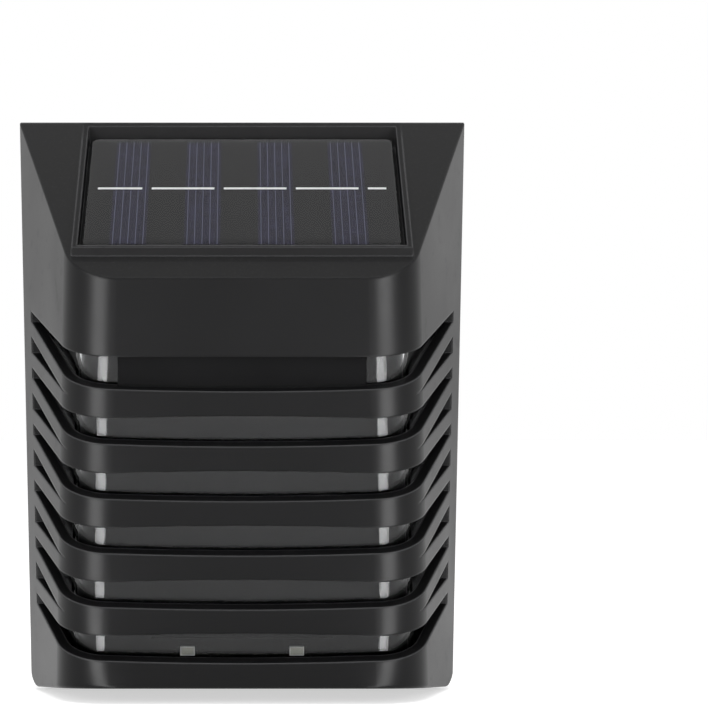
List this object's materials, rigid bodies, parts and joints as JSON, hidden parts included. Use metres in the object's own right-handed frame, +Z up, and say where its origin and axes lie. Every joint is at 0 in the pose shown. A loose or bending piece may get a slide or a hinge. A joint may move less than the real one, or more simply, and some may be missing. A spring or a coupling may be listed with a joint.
{
  "type": "solar fence light",
  "caption": "Wall-hung solar fence light: tapered black louvred casing with a sloped solar panel on top and a clear tub with white light chips behind the louvres.",
  "frame": {"origin": "centre of the flat back, on the face that rests against the wall", "axes": "+X to the right of a viewer who faces the front; +Y into the wall; +Z up"},
  "size_m": [0.112, 0.05, 0.142],
  "materials": {
    "black_plastic": "satin, slightly grained",
    "clear_plastic": "clear, smooth",
    "soft_black": "matte",
    "panel_resin": "clear, poured",
    "cell_silicon": "dark blue with fine light lines",
    "ribbon_metal": "tinned",
    "panel_board": "matte",
    "foam_tape": "foam",
    "white_board": "satin",
    "light_chip": "pale",
    "green_board": "satin",
    "chip_black": "matte",
    "choke_body": "satin",
    "capacitor_sleeve": "gloss",
    "zinc_steel": "zinc plated",
    "spring_steel": "nickel plated",
    "battery_wrap": "satin sleeve",
    "wire_red": "satin",
    "wire_black": "satin"
  },
  "bodies": {
    "housing": {"louvre_casing": "black_plastic", "back_plate": "black_plastic", "led_carrier": "black_plastic", "clear_lens": "clear_plastic", "lens_gasket": "soft_black", "panel_resin": "panel_resin", "solar_panel_board": "panel_board", "panel_tape": "foam_tape", "led_board": "white_board", "led_left": "light_chip", "led_right": "light_chip", "control_board": "green_board", "driver_chip": "chip_black", "choke_coil": "choke_body", "capacitor": "capacitor_sleeve", "switch_body": "chip_black", "back_plate_screws": "zinc_steel", "carrier_screws": "zinc_steel", "control_board_screws": "zinc_steel", "battery_cell": "battery_wrap", "battery_positive_contact": "spring_steel", "battery_negative_contact": "spring_steel", "battery_spring": "spring_steel", "panel_wire_red": "wire_red", "battery_wire_red": "wire_red", "led_wire_red": "wire_red", "panel_wire_black": "wire_black", "battery_wire_black": "wire_black", "led_wire_black": "wire_black", "solar_cell_1": "cell_silicon", "solar_cell_2": "cell_silicon", "solar_cell_3": "cell_silicon", "solar_cell_4": "cell_silicon", "cell_ribbon_1": "ribbon_metal", "cell_ribbon_2": "ribbon_metal", "cell_ribbon_3": "ribbon_metal", "cell_ribbon_4": "ribbon_metal", "cell_ribbon_5": "ribbon_metal"},
    "switch": {"switch_slider": "black_plastic"},
    "battery_door": {"battery_door": "black_plastic", "battery_door_seal": "soft_black", "battery_door_screw": "zinc_steel"}
  },
  "joints": [
    {"name": "switch_slide", "type": "slide", "parent": "housing", "child": "switch", "axis": [1, 0, 0], "range_m": [0, 0.002]},
    {"name": "battery_door_lift", "type": "slide", "parent": "housing", "child": "battery_door", "axis": [0, 1, 0], "range_m": [0, 0.012]}
  ]
}
